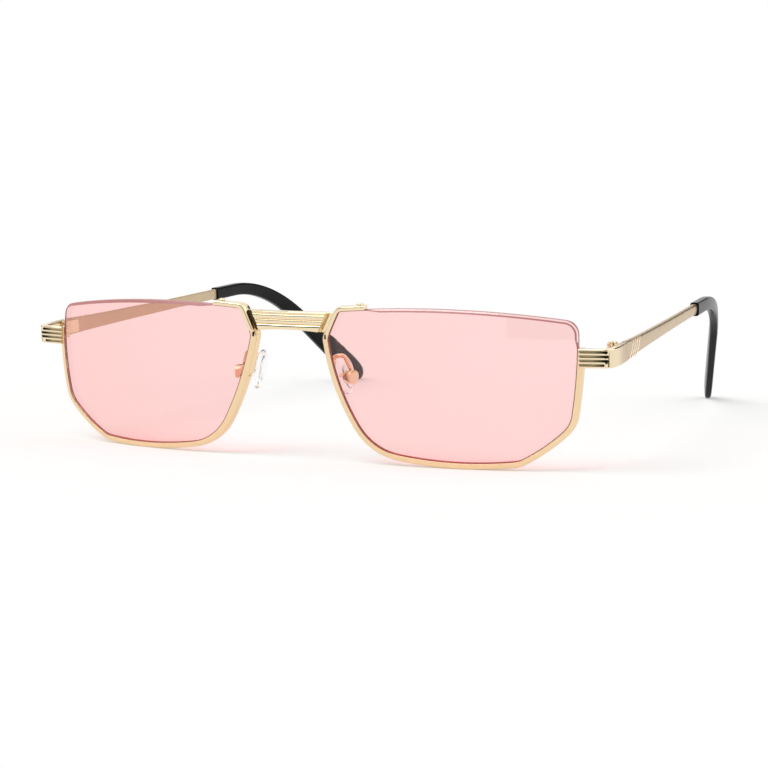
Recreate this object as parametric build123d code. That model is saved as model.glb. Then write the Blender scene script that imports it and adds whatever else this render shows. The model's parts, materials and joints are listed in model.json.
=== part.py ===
from build123d import *
import os
from math import atan2, cos, degrees, radians, sin, sqrt

# Narrow rectangle sunglasses, open and standing on a table on the rims' lower edges and the
# temple tips. Millimetres, +X to the wearer's left, +Y from the lenses to the ears, +Z up.
# Everything is first built with the front plumb. The whole is then leaned until the rims and
# the tips share one floor, with the origin under the middle of the box that holds it all.

# Lens
lens_width = 54.7
lens_height = 33.4
lens_thickness = 2.0
lens_curve_radius = 105.0
bridge_gap = 18.7
wrap_angle = 8.4
# The six corners of the outline, from the top one at the nose round by the nose and the bottom,
# across and up from the middle of the lens.
lens_corner_shares = (
    (-0.450, 0.467),
    (-0.5, 0.290),
    (-0.313, -0.427),
    (0.268, -0.480),
    (0.472, -0.239),
    (0.5, 0.409),
)
nose_top_radius = 1.2
nose_waist_radius = 2.2
nose_foot_radius = 12.5
bottom_corner_radius = 4.1
cheek_corner_radius = 5.8
top_corner_radius = 3.2
# How far the middle of each side stands out from the straight line between its corners.
slant_bow = 0.05
nose_side_bow = 1.6
bottom_bow = 1.25
cheek_bow = 0.58
outer_side_bow = 0.6
top_bow = 1.8
ridge_height = 0.45
ridge_width = 0.9

# Rim
rim_width = 1.3
rim_depth = 2.1
rim_proud = 0.1
groove_clearance = 0.04
rim_end_above_endpiece = 0.5
rim_slot_length = 1.1
rim_slot_width = 0.45
rim_slot_drop = 0.8
waist_joint_rise = 0.9

# Strap over the lens
strap_width = 1.2
strap_depth = 2.4
strap_proud = 0.4
strap_reach = 6.6
strap_screw_inset = 1.7
strap_screw_radius = 0.45
strap_screw_head_radius = 0.75
strap_screw_head_height = 0.5
strap_screw_clearance = 0.02
strap_screw_bite = 0.9

# Bridge
bridge_base_thickness = 1.7
bridge_back_gap = 0.35
bridge_height = 4.5
# The ribs' heights from the lowest up, as shares of the bridge's.
bridge_rib_shares = (0.39, 0.233, 0.256, 0.121)
bridge_rib_rise = 0.65
bridge_rib_bulge_share = 0.28
bridge_bow_radius = 80.0
bridge_arch_rise = 0.7
bridge_top_above_corner = -0.45
rib_end_margin = 1.1

# Endpiece
endpiece_height = 4.1
endpiece_thickness = 1.6
endpiece_edge_radius = 0.35
endpiece_above_lens_middle = 6.35
endpiece_start_gap = 0.25
endpiece_proud = 0.6
endpiece_sweep_angle = 9.0
endpiece_side_angle = 8.0
endpiece_corner_radius = 1.5
endpiece_knee_radius = 28.0
endpiece_knee_run = 5.6
groove_count = 4
groove_radius = 0.28
groove_sink = 0.06
groove_pitch = 0.92
groove_end_shares = (0.97, 1.0, 0.99, 0.86)

# Hinge
hinge_beyond_lens = 4.9
hinge_behind_lens_edge = 8.9
knuckle_radius = 1.3
outer_knuckle_height = 1.05
middle_knuckle_height = 1.6
knuckle_gap = 0.08
knuckle_sweep_clearance = 0.12
hinge_shaft_radius = 0.55
shaft_running_clearance = 0.05
shaft_fixed_clearance = 0.02
hinge_head_radius = 0.95
hinge_head_height = 0.4
hinge_slot_width = 0.25
hinge_slot_depth = 0.2
leaf_thickness = 0.6
leaf_height = 3.0
front_leaf_length = 5.0
temple_leaf_length = 7.0
temple_leaf_start = 0.3
leaf_recess_clearance = 0.06
butt_gap = 0.1
butt_behind_axis = 1.6

# Temple
temple_drop_angle = 0.8
temple_toe_angle = 3.1
blade_thickness = 1.4
blade_beside_knuckle = 0.15
blade_length = 72.5
blade_front_height = 4.3
blade_back_height = 2.6
# Along the blade as a share of its length, and its height there as a share of the front's.
blade_height_shares = ((0.0, 1.0), (0.14, 0.84), (0.4, 0.71), (0.65, 0.635))
blade_edge_radius = 0.4
core_radius = 0.65
core_end_gap = 9.0
engraving_count = 3
engraving_start = 7.8
engraving_pitch = 2.4
engraving_width = 0.55
engraving_depth = 0.18
engraving_angle = 50.0

# Temple tip
tip_socket_depth = 1.9
tip_straight_run = 26.2
tip_bend_radius = 44.0
tip_run = 50.8
tip_fall_angle = 39.5
tip_inward_angle = 15.0
tip_fit_clearance = 0.05
tip_start = blade_length - tip_socket_depth
tip_bend_at = tip_start + tip_straight_run
tip_corner_share = 0.42
# Along the tip from its mouth, and there its height and its thickness as shares of the largest.
tip_height = 5.6
tip_thickness = 2.3
tip_section_shares = (
    (0.0, 0.6, 0.97),
    (0.1, 0.585, 1.0),
    (0.25, 0.6, 1.0),
    (0.4, 0.66, 0.98),
    (0.55, 0.76, 0.94),
    (0.7, 0.88, 0.9),
    (0.83, 0.98, 0.88),
    (0.91, 1.0, 0.87),
    (0.96, 0.9, 0.82),
    (0.985, 0.68, 0.7),
    (1.0, 0.32, 0.42),
)

# Nose pad
pad_wire_radius = 0.5
pad_wire_bend_radius = 1.0
pad_box_beside_gap = 4.3
pad_box_lens_clearance = 0.31
pad_box_above_middle = 1.0
pad_box_radius = 1.55
pad_box_length = 1.9
pad_slot_width = 1.1
pad_slot_depth = 1.5
pad_screw_radius = 0.35
pad_face_angle = 18.0
pad_eye_thickness = 0.95
pad_eye_radius = 0.75
pad_eye_clearance = 0.05
pad_pin_ahead = 0.3
pad_reach = 3.9
pad_shift_back = 1.9
pad_height = 9.0
pad_width = 6.0
pad_thickness = 2.2
pad_edge_radius = 0.8
insert_height = 4.6
insert_width = 2.6
insert_thickness = 0.5
insert_sink = 0.5
pad_arm_rise = 4.6
# The arm's corners from the rim to above the box, across, back and up from the box's middle,
# as shares of the arm's rise.
pad_arm_corner_shares = (
    (-0.70, -0.43, -0.18),
    (-0.87, 0.05, 0.93),
    (-0.29, 0.16, 0.97),
)

# One overrun serves every cut.
overrun = 4.0


# The eye frame: across, depth and up from the front of the lens's middle.

waist_across = -lens_corner_shares[1][0] * lens_width
waist_up = lens_corner_shares[1][1] * lens_height
waist_sag = (waist_across**2 + waist_up**2) / (2 * lens_curve_radius)
wrap = radians(wrap_angle)
eye_x = bridge_gap / 2 + waist_across * cos(wrap) + waist_sag * sin(wrap)
eye_z = rim_width + lens_height / 2
eye = Pos(eye_x, 0, eye_z) * Rot(0, 0, wrap_angle)
curve_centre = Pos(0, lens_curve_radius, 0)


def side_circle(start, end, bow):
    """The centre and radius of a side that stands out by bow at its middle."""
    a, b = Vector(*start), Vector(*end)
    half = (b - a).length / 2
    radius = (half**2 + bow**2) / (2 * bow)
    inwards = (b - a).normalized().rotate(Axis.Z, 90)
    return (a + b) / 2 + inwards * (radius - bow), radius


def corner_centre(one, other, radius, near):
    """The middle of an arc that touches two sides from inside, close to a point."""
    (a, a_radius), (b, b_radius) = one, other
    a_reach, b_reach = a_radius - radius, b_radius - radius
    gap = (b - a).length
    along = (a_reach**2 - b_reach**2 + gap**2) / (2 * gap)
    aside = (b - a).normalized().rotate(Axis.Z, 90) * sqrt(a_reach**2 - along**2)
    foot = a + (b - a).normalized() * along
    return min(foot + aside, foot - aside, key=lambda spot: (spot - near).length)


def arc_about(centre, start, end):
    """The short arc about a centre between two points."""
    middle = centre + (start + end - centre * 2).normalized() * (start - centre).length
    return ThreePointArc(start, middle, end)


def lens_outline(grown):
    """The lens's outline on the front, grown by a width all round."""
    corners = [Vector(across * lens_width, up * lens_height) for across, up in lens_corner_shares]
    bows = (slant_bow, nose_side_bow, bottom_bow, cheek_bow, outer_side_bow, top_bow)
    radii = (
        nose_top_radius,
        nose_waist_radius,
        nose_foot_radius,
        bottom_corner_radius,
        cheek_corner_radius,
        top_corner_radius,
    )
    count = len(corners)
    circles = [side_circle(corners[i], corners[(i + 1) % count], bows[i]) for i in range(count)]
    arcs, ends = [], []
    for i in range(count):
        centre = corner_centre(circles[i - 1], circles[i], radii[i], corners[i])
        reach = radii[i] + grown
        enter = centre + (centre - circles[i - 1][0]).normalized() * reach
        leave = centre + (centre - circles[i][0]).normalized() * reach
        arcs.append(arc_about(centre, enter, leave))
        ends.append((enter, leave))
    for i in range(count):
        arcs.append(arc_about(circles[i][0], ends[i][1], ends[(i + 1) % count][0]))
    return make_face(Wire(arcs))


def through(face):
    """A face of the front pushed right through the lens from front to back."""
    depth = lens_curve_radius / 2
    return extrude(Plane.XZ * face, depth, both=True)


def shell(front, thickness):
    """The layer between two spheres about the lens's centre of curve."""
    outer = Sphere(lens_curve_radius - front)
    return curve_centre * (outer - Sphere(lens_curve_radius - front - thickness))


def largest(piece):
    """The piece without the crumbs that a cut can leave beside it."""
    return max(piece.solids(), key=lambda solid: solid.volume)


def region(across_low, across_high, up_low, up_high):
    """A block of the eye frame, through the whole depth of the lens."""
    width, height = across_high - across_low, up_high - up_low
    block = Box(width, lens_curve_radius, height)
    return Pos((across_low + across_high) / 2, 0, (up_low + up_high) / 2) * block


far_side = lens_width / 2 + rim_width + overrun
far_up = lens_height / 2 + rim_width + overrun
endpiece_top = endpiece_above_lens_middle + endpiece_height / 2
rim_top_outer = endpiece_top + rim_end_above_endpiece
waist_joint = waist_up + waist_joint_rise
strap_end_across = lens_corner_shares[0][0] * lens_width + strap_reach

rim_region = region(-far_side, 0, -far_up, waist_joint) + region(0, far_side, -far_up, rim_top_outer)
strap_region = region(-far_side, strap_end_across, waist_joint, far_up)

outline = lens_outline(0)
outline_prism = through(outline)
ridge_front = (lens_thickness - ridge_width) / 2


def build_lens():
    """A curved lens with a ridge where the rim and the strap hold it."""
    body = outline_prism & shell(0, lens_thickness)
    ridge = through(lens_outline(ridge_height)) & shell(ridge_front, ridge_width)
    return body + (ridge & (rim_region + strap_region))


def groove():
    """The room that the ridge takes, with its clearance."""
    prism = through(lens_outline(ridge_height + groove_clearance))
    front = ridge_front - groove_clearance
    return prism & shell(front, ridge_width + 2 * groove_clearance)


def wire(width, proud, depth):
    """A grooved wire round the whole lens."""
    ring = through(lens_outline(width)) - through(lens_outline(groove_clearance))
    return (ring & shell(-proud, depth)) - groove()


def rim_slot():
    """A small upright slot through the rim, just under the strap."""
    slot = Plane.XZ * SlotOverall(rim_slot_length, rim_slot_width, rotation=90)
    at = Pos(-waist_across - rim_width / 2, 0, waist_joint - rim_slot_drop)
    return at * extrude(slot, 2 * rim_depth, both=True)


def build_rim():
    """The wire from behind the endpiece, under the lens and up to the strap."""
    return (wire(rim_width, rim_proud, rim_depth) & rim_region) - rim_slot()


# Strap and its screw

top_slope = atan2(
    (lens_corner_shares[5][1] - lens_corner_shares[0][1]) * lens_height,
    (lens_corner_shares[5][0] - lens_corner_shares[0][0]) * lens_width,
)
screw_across = strap_end_across - strap_screw_inset
top_chord = (lens_corner_shares[5][0] - lens_corner_shares[0][0]) * lens_width
along_top = (screw_across - lens_corner_shares[0][0] * lens_width) / top_chord
screw_lens_top = (
    lens_corner_shares[0][1] * lens_height + sin(top_slope) * top_chord * along_top
    + 4 * top_bow * along_top * (1 - along_top)
)
screw_depth = (screw_across**2 + screw_lens_top**2) / (2 * lens_curve_radius) + lens_thickness / 2
screw_at = Pos(screw_across, screw_depth, screw_lens_top)
screw_length = strap_screw_bite + strap_width


def strap_screw_hole(clearance):
    """The room for the screw's shank, from its point to above its head."""
    low = (Align.CENTER, Align.CENTER, Align.MIN)
    shank = Cylinder(strap_screw_radius + clearance, screw_length + overrun, align=low)
    return screw_at * Pos(0, 0, -strap_screw_bite) * shank


def build_strap_screw():
    """A screw whose head stands on the strap and whose point is in the lens."""
    low = (Align.CENTER, Align.CENTER, Align.MIN)
    shank = Pos(0, 0, -strap_screw_bite) * Cylinder(strap_screw_radius, screw_length, align=low)
    head = Pos(0, 0, strap_width) * Cylinder(strap_screw_head_radius, strap_screw_head_height, align=low)
    head = fillet(head.edges().group_by(Axis.Z)[-1], strap_screw_head_height / 2)
    return screw_at * (shank + head)


def build_strap():
    """The wire from the nose corner up the slant and over the lens's top edge."""
    band = wire(strap_width, strap_proud, strap_depth) & strap_region
    flat = screw_at * Pos(0, 0, strap_width) * Cylinder(
        strap_screw_head_radius, overrun, align=(Align.CENTER, Align.CENTER, Align.MIN)
    )
    return band - strap_screw_hole(strap_screw_clearance) - flat


# Bridge

nose_top_across = lens_corner_shares[0][0] * lens_width
nose_top_up = lens_corner_shares[0][1] * lens_height
nose_top_sag = (nose_top_across**2 + nose_top_up**2) / (2 * lens_curve_radius)
strap_front = nose_top_across * sin(wrap) + nose_top_sag * cos(wrap) - strap_proud
bridge_back = strap_front + strap_depth - bridge_back_gap
bridge_front = bridge_back - bridge_base_thickness
bridge_top = eye_z + nose_top_up + bridge_top_above_corner
bridge_bottom = bridge_top - bridge_height


def bridge_profile(front_base, ribbed):
    """The bar's section, with its ribs on the front where asked."""
    low, front = bridge_bottom, []
    for share in bridge_rib_shares:
        height = bridge_height * share
        top = low + height
        if ribbed:
            bulge = (front_base - height * bridge_rib_bulge_share, (low + top) / 2)
            front.append(ThreePointArc((front_base, low), bulge, (front_base, top)))
        else:
            front.append(Line((front_base, low), (front_base, top)))
        low = top
    back = Polyline((front_base, low), (bridge_back, low), (bridge_back, bridge_bottom), (front_base, bridge_bottom))
    return make_face(Wire(front + list(back.edges())))


def bowed_bar(profile):
    """The section swept along the bridge's gentle forward bow."""
    half = degrees((bridge_gap / 2 + strap_depth) / bridge_bow_radius)
    axis_at = bridge_front + bridge_bow_radius
    section = Plane.YZ * (Pos(-axis_at, 0) * profile)
    bar = revolve(Rot(0, 0, -half) * section, Axis.Z, 2 * half)
    return Pos(0, axis_at, 0) * bar


def both_eyes(piece):
    """A piece of the eye frame in place at both eyes."""
    placed = eye * piece
    return [placed, mirror(placed, Plane.YZ)]


def bridge_layer(layer, margin):
    """A layer of the bar, cut off at a margin from both lenses and arched below."""
    half_span = bridge_gap / 2
    arch_radius = (half_span**2 + bridge_arch_rise**2) / (2 * bridge_arch_rise)
    arch_at = Pos(0, bridge_front, bridge_bottom + bridge_arch_rise - arch_radius)
    layer = layer - arch_at * Rot(90, 0, 0) * Cylinder(arch_radius, 2 * strap_depth + overrun)
    for hold in both_eyes(through(lens_outline(margin))):
        layer = layer - hold
    return layer


def build_bridge():
    """A bar between the straps, with raised ribs that stop short of its ends."""
    base = bowed_bar(bridge_profile(bridge_front, False))
    ribs = bowed_bar(bridge_profile(bridge_front - bridge_rib_rise, True)) - base
    return bridge_layer(base, strap_width) + bridge_layer(ribs, strap_width + rib_end_margin)


# Hinge and temple frame: across, along and up from the middle of the hinge's axis.

side_edge = lens_width / 2
start_sag = (side_edge**2 + endpiece_above_lens_middle**2) / (2 * lens_curve_radius)
lens_edge_x = eye_x + side_edge * cos(wrap) - start_sag * sin(wrap)
lens_edge_y = side_edge * sin(wrap) + start_sag * cos(wrap)
hinge_axis_x = lens_edge_x + hinge_beyond_lens
hinge_axis_depth = lens_edge_y + hinge_behind_lens_edge
hinge_z = eye_z + endpiece_above_lens_middle
hinge = Pos(hinge_axis_x, hinge_axis_depth, hinge_z) * Rot(-temple_drop_angle, 0, temple_toe_angle)
blade_inner = knuckle_radius + blade_beside_knuckle
blade_outer = blade_inner + blade_thickness
blade_middle = (blade_inner + blade_outer) / 2
stack_height = 2 * outer_knuckle_height + middle_knuckle_height + 2 * knuckle_gap
low_centre = (Align.CENTER, Align.CENTER, Align.MIN)


def disc(radius, low, high):
    """A round piece on the hinge's axis between two heights."""
    return Pos(0, 0, low) * Cylinder(radius, high - low, align=low_centre)


def block(x_low, x_high, y_low, y_high, z_low, z_high):
    """A block between six planes."""
    body = Box(x_high - x_low, y_high - y_low, z_high - z_low, align=(Align.MIN, Align.MIN, Align.MIN))
    return Pos(x_low, y_low, z_low) * body


middle_top = middle_knuckle_height / 2
outer_low = middle_top + knuckle_gap
outer_high = stack_height / 2


def build_front_leaf():
    """The fixed leaf: a plate on the endpiece, a knuckle above and one below."""
    plate_outer = blade_outer - endpiece_thickness
    half = leaf_height / 2
    plate = block(plate_outer - leaf_thickness, plate_outer, -front_leaf_length, 0, -half, half)
    plate = plate - disc(knuckle_radius + knuckle_sweep_clearance, -outer_low, outer_low)
    knuckles = disc(knuckle_radius, outer_low, outer_high) + disc(knuckle_radius, -outer_high, -outer_low)
    return plate + knuckles - disc(hinge_shaft_radius + shaft_fixed_clearance, -stack_height, stack_height)


def build_temple_leaf():
    """The moving leaf: a plate on the blade with the middle knuckle."""
    half = leaf_height / 2
    plate = block(blade_inner - leaf_thickness, blade_inner, temple_leaf_start, temple_leaf_length, -half, half)
    plate = fillet(plate.edges().filter_by(Axis.X).group_by(Axis.Y)[-1], leaf_thickness)
    sweep_radius = knuckle_radius + knuckle_sweep_clearance
    plate = plate - disc(sweep_radius, middle_top, stack_height) - disc(sweep_radius, -stack_height, -middle_top)
    knuckle = disc(knuckle_radius, -middle_top, middle_top)
    return plate + knuckle - disc(hinge_shaft_radius + shaft_running_clearance, -stack_height, stack_height)


def build_hinge_screw():
    """The shaft through the knuckles, with a slotted head on the top one."""
    shaft = disc(hinge_shaft_radius, -outer_high, outer_high)
    head = disc(hinge_head_radius, outer_high, outer_high + hinge_head_height)
    head = fillet(head.edges().group_by(Axis.Z)[-1], hinge_head_height / 3)
    slot_low = outer_high + hinge_head_height - hinge_slot_depth
    half_slot = hinge_slot_width / 2
    slot = block(-half_slot, half_slot, -knuckle_radius, knuckle_radius, slot_low, slot_low + overrun)
    return shaft + head - slot


def blade_side():
    """The blade seen from the side, from the hinge to inside the tip."""
    start, back = butt_behind_axis + butt_gap, blade_back_height / 2
    length = blade_length - start
    upper = [(start + length * along, blade_front_height / 2 * high) for along, high in blade_height_shares]
    upper.append((blade_length, back))
    lower = [(along, -up) for along, up in upper]
    ends = [Line(lower[0], upper[0]), Line(upper[-1], lower[-1])]
    return make_face(Wire([Spline(*upper), Spline(*lower), *ends]))


def tip_frame_points():
    """The mouth, the corner and the end of the tip's middle line."""
    fall, inward = radians(tip_fall_angle), radians(tip_inward_angle)
    mouth = Vector(blade_middle, tip_start, 0)
    corner = Vector(blade_middle, tip_bend_at, 0)
    run = Vector(-sin(inward) * cos(fall), cos(inward) * cos(fall), -sin(fall))
    return mouth, corner, corner + run * tip_run


def tip_path(from_blade, short_by):
    """The tip's middle line, from a point on the blade to short of its end."""
    mouth, corner, end = tip_frame_points()
    start = Vector(blade_middle, from_blade, 0)
    end = end - (end - corner).normalized() * short_by
    return FilletPolyline(start, corner, end, radius=tip_bend_radius)


def wire_along(path, radius):
    """A round wire along a path."""
    return sweep(Plane(path @ 0, z_dir=path % 0) * Circle(radius), path)


def engraving():
    """Slanted grooves in the blade's outer face near the hinge."""
    cuts = []
    for i in range(engraving_count):
        at = Pos(blade_outer, engraving_start + i * engraving_pitch, 0) * Rot(-engraving_angle, 0, 0)
        cuts.append(at * Box(2 * engraving_depth, engraving_width, blade_front_height * 2))
    return cuts


def build_temple():
    """The blade with its wire core, which runs on inside the tip."""
    blade = Pos(blade_inner, 0, 0) * extrude(Plane.YZ * blade_side(), blade_thickness)
    long_edges = blade.edges().filter_by(lambda e: abs(e.tangent_at(0.5).Y) > abs(e.tangent_at(0.5).Z))
    blade = fillet(long_edges.filter_by(lambda e: abs(e.tangent_at(0.5).X) < 0.5), blade_edge_radius)
    for cut in engraving():
        blade = blade - cut
    core = wire_along(tip_path(blade_length, core_end_gap), core_radius)
    return blade + core


def tip_section(path, share, height_share, thickness_share):
    """One section of the tip, square to its middle line."""
    at = path @ share
    ahead = path % share
    sideways = Vector(0, 0, 1).cross(ahead).normalized()
    height, thickness = tip_height * height_share, tip_thickness * thickness_share
    corner = min(height, thickness) * tip_corner_share
    return Plane(at, x_dir=sideways, z_dir=ahead) * RectangleRounded(thickness, height, corner)


def build_tip():
    """The sleeve: a thin mouth round the blade that grows to a flat rounded end."""
    path = tip_path(tip_start, 0)
    body = loft([tip_section(path, *row) for row in tip_section_shares])
    half_width = blade_thickness / 2 + tip_fit_clearance
    half_height = blade_back_height / 2 + tip_fit_clearance
    socket = block(
        blade_middle - half_width, blade_middle + half_width, tip_start - overrun, blade_length,
        -half_height, half_height,
    )
    bore = wire_along(tip_path(blade_length, core_end_gap - tip_fit_clearance), core_radius + tip_fit_clearance)
    return body - socket - bore


# Endpiece

endpiece_start_x = lens_edge_x + endpiece_start_gap
endpiece_start_y = lens_edge_y - endpiece_proud + endpiece_thickness / 2


def endpiece_path():
    """The endpiece's middle line in plan, from the lens's edge round to the butt."""
    middle = blade_outer - endpiece_thickness / 2
    toe = radians(temple_toe_angle)
    butt = Vector(
        hinge_axis_x + middle * cos(toe) - butt_behind_axis * sin(toe),
        hinge_axis_depth + middle * sin(toe) + butt_behind_axis * cos(toe),
    )
    start = Vector(endpiece_start_x, endpiece_start_y)
    slope, out = radians(endpiece_sweep_angle), radians(endpiece_side_angle)
    knee = butt - Vector(-sin(toe), cos(toe)) * endpiece_knee_run
    # Where the line from the start meets the line forward from the knee.
    lead, back = Vector(cos(slope), sin(slope)), Vector(-sin(out), -cos(out))
    gap = knee - start
    run = (gap.X * back.Y - gap.Y * back.X) / (lead.X * back.Y - lead.Y * back.X)
    radii = (endpiece_corner_radius, endpiece_knee_radius)
    return FilletPolyline(start, start + lead * run, knee, butt, radius=radii)


def build_endpiece():
    """The ribbed corner, with room for the rim behind it and the hinge inside it."""
    path = Pos(0, 0, hinge_z) * endpiece_path()
    section = RectangleRounded(endpiece_thickness, endpiece_height, endpiece_edge_radius)
    body = sweep(Plane(path @ 0, x_dir=Vector(0, 0, 1).cross(path % 0), z_dir=path % 0) * section, path)
    flat_length = path.edges()[0].length
    reach = flat_length + endpiece_corner_radius / 2
    surface = -endpiece_thickness / 2 - groove_sink + groove_radius / 2
    at = Pos(endpiece_start_x, endpiece_start_y, hinge_z) * Rot(0, 0, endpiece_sweep_angle)
    for i in range(groove_count):
        up = (i - (groove_count - 1) / 2) * groove_pitch
        length = reach * groove_end_shares[groove_count - 1 - i]
        bar = Rot(0, 90, 0) * Cylinder(groove_radius, length + overrun, align=low_centre)
        ball = Pos(length, 0, 0) * Sphere(groove_radius)
        body = body - at * Pos(0, surface, up) * (Pos(-overrun, 0, 0) * bar + ball)
    body = body - hinge * disc(knuckle_radius + knuckle_sweep_clearance, -endpiece_height, endpiece_height)
    half = leaf_height / 2
    body = body - hinge * block(-far_side, blade_outer - endpiece_thickness, -front_leaf_length, 0, -half, half)
    recess = blade_inner + leaf_recess_clearance
    half = half + leaf_recess_clearance
    return body - hinge * block(-far_side, recess, 0, overrun, -half, half)


# Nose pad. Its own frame points the first axis from the box towards the nose.

pad_box_across = bridge_gap / 2 + pad_box_beside_gap
pad_box_up = eye_z + pad_box_above_middle
pad_across_eye = pad_box_across - eye_x
lens_back_at_pad = lens_thickness + (pad_across_eye**2 + pad_box_above_middle**2) / (2 * lens_curve_radius)
lens_back_y = pad_across_eye * sin(wrap) + lens_back_at_pad * cos(wrap)
pad_box_behind = lens_back_y + pad_box_lens_clearance + pad_box_radius
pad_box = Pos(pad_box_across, pad_box_behind, pad_box_up) * Rot(0, 0, 180 - pad_face_angle)
pad_middle = pad_box * Pos(pad_reach, -pad_shift_back, 0)


pad_pin = pad_box * Pos(pad_pin_ahead, 0, 0) * Rot(90, 0, 0)
slot_floor = pad_box_length / 2 - pad_slot_depth


def pad_slot():
    """The box's slot, open towards the nose and above and below."""
    half = pad_slot_width / 2
    return pad_box * block(slot_floor, pad_reach, -half, half, -2 * pad_box_radius, 2 * pad_box_radius)


def build_pad_box():
    """A round cup with a slot for the pad's eye and a cross hole for the screw."""
    cup = pad_box * Rot(0, 90, 0) * Cylinder(pad_box_radius, pad_box_length)
    return cup - pad_slot() - pad_pin * Cylinder(pad_screw_radius, 2 * pad_box_radius + overrun)


def build_pad_screw():
    """The pin across the box that the pad rocks on."""
    return pad_pin * Cylinder(pad_screw_radius, 2 * pad_box_radius)


def build_insert():
    """An eye on a stem with a small plate moulded into the pad."""
    half = pad_eye_thickness / 2
    plate_back = pad_reach - pad_thickness / 2 + insert_sink
    stem = block(pad_pin_ahead, plate_back, -half, half, -pad_eye_radius / 2, pad_eye_radius / 2)
    plate = Pos(plate_back + insert_thickness / 2, -pad_shift_back / 2, 0) * Box(
        insert_thickness, insert_width, insert_height
    )
    eye_disc = pad_pin * Cylinder(pad_eye_radius, pad_eye_thickness)
    hole = pad_pin * Cylinder(pad_screw_radius + pad_eye_clearance, pad_slot_width)
    return eye_disc + pad_box * (stem + plate) - hole


def build_nose_pad():
    """A soft oval pad, domed towards the nose, moulded round its insert."""
    oval = Ellipse(pad_width / 2, pad_height / 2)
    body = extrude(Plane.YZ * oval, pad_thickness / 2, both=True)
    body = fillet(body.edges(), pad_edge_radius)
    return pad_middle * body - build_insert()


def build_pad_arm(rim, lens, box):
    """A looped wire from the back of the rim up, over and down onto the box."""
    cheek = (pad_box_radius + pad_slot_width / 2) / 2
    end = (pad_box * Pos(slot_floor, -cheek, pad_box_radius / 2)).position
    middle = Vector(pad_box_across, pad_box_behind, pad_box_up)
    points = [middle + Vector(*shares) * pad_arm_rise for shares in pad_arm_corner_shares] + [end]
    arm = wire_along(FilletPolyline(*points, radius=pad_wire_bend_radius), pad_wire_radius)
    return largest(arm - rim - lens - box - pad_slot())


# Assembly

def other_side(piece):
    """The same piece on the other side of the face."""
    return mirror(piece, Plane.YZ)


def build_side():
    """Every piece that the left side has, in the plumb frame."""
    lens, rim, strap = build_lens(), build_rim(), build_strap()
    lens = lens - strap_screw_hole(strap_screw_clearance)
    rim_placed, lens_placed = eye * rim, eye * lens
    box = build_pad_box()
    front_leaf = hinge * build_front_leaf()
    return {
        "lens": lens_placed,
        "rim": rim_placed,
        "top_strap": eye * strap,
        "strap_screw": eye * build_strap_screw(),
        "endpiece": largest(build_endpiece() - rim_placed - lens_placed),
        "hinge_front_leaf": front_leaf,
        "hinge_screw": hinge * build_hinge_screw(),
        "hinge_temple_leaf": hinge * build_temple_leaf(),
        "temple": hinge * build_temple(),
        "temple_tip": hinge * build_tip(),
        "pad_arm": build_pad_arm(rim_placed, lens_placed, box),
        "pad_box": box,
        "pad_screw": build_pad_screw(),
        "pad_insert": build_insert(),
        "nose_pad": build_nose_pad(),
    }


def lowest(piece, lean):
    """The lowest point of a piece once the glasses lean, and how far back it is."""
    leaned = Rot(lean, 0, 0) * piece
    foot = leaned.bounding_box().min.Z
    low = leaned.vertices().sort_by(Axis.Z)[0]
    return foot, low.Y


def standing_lean(rim, tip):
    """The lean at which the rims and the tips touch one floor."""
    lean = 0.0
    for _ in range(6):
        (rim_foot, rim_y), (tip_foot, tip_y) = lowest(rim, lean), lowest(tip, lean)
        lean -= degrees(atan2(tip_foot - rim_foot, tip_y - rim_y))
    return lean


side = build_side()
lean = standing_lean(side["rim"], side["temple_tip"])
pieces = {"bridge": build_bridge()}
for name, piece in side.items():
    pieces[name + "_left"] = piece
    pieces[name + "_right"] = other_side(piece)

stood = {name: Rot(lean, 0, 0) * piece for name, piece in pieces.items()}
whole = Compound(children=[Compound(piece.solids()) for piece in stood.values()]).bounding_box()
to_origin = Pos(0, -whole.center().Y, -whole.min.Z)
placing = to_origin * Rot(lean, 0, 0)

if __name__ == "__main__":
    os.makedirs("parts", exist_ok=True)
    for name, piece in pieces.items():
        export_step(placing * piece, f"parts/{name}.step")
    print("lean", round(lean, 3), "size", whole.size)
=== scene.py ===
"""Narrow rectangle sunglasses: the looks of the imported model, piece by piece."""

import bmesh
import bpy
import json
from math import atan2, cos, pi, radians, sin, sqrt
from mathutils import Matrix, Vector


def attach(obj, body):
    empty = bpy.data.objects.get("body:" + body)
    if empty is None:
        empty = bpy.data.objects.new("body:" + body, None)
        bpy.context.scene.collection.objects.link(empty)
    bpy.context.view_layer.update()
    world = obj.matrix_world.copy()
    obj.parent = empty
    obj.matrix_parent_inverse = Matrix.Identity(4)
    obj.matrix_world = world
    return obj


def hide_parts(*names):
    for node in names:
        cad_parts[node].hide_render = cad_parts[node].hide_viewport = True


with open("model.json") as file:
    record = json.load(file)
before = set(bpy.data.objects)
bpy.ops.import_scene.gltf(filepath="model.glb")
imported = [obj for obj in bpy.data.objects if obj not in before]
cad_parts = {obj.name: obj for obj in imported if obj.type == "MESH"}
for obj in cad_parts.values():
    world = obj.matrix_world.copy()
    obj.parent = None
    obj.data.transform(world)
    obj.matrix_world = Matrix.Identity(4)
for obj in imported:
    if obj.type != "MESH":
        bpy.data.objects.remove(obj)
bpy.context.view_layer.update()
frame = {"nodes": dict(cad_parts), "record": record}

# Frames. Shapes are laid out in millimetres in the plumb frame of the front or in one that hangs on it. STAND
# leans the front back, as the pair stands on its rims and its tips.


def placed(base, at, *turns):
    """A frame set in another one at a place, turned by each pair of degrees and axis."""
    place = base @ Matrix.Translation(at)
    for degrees, axis in turns:
        place = place @ Matrix.Rotation(radians(degrees), 4, axis)
    return place


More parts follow.
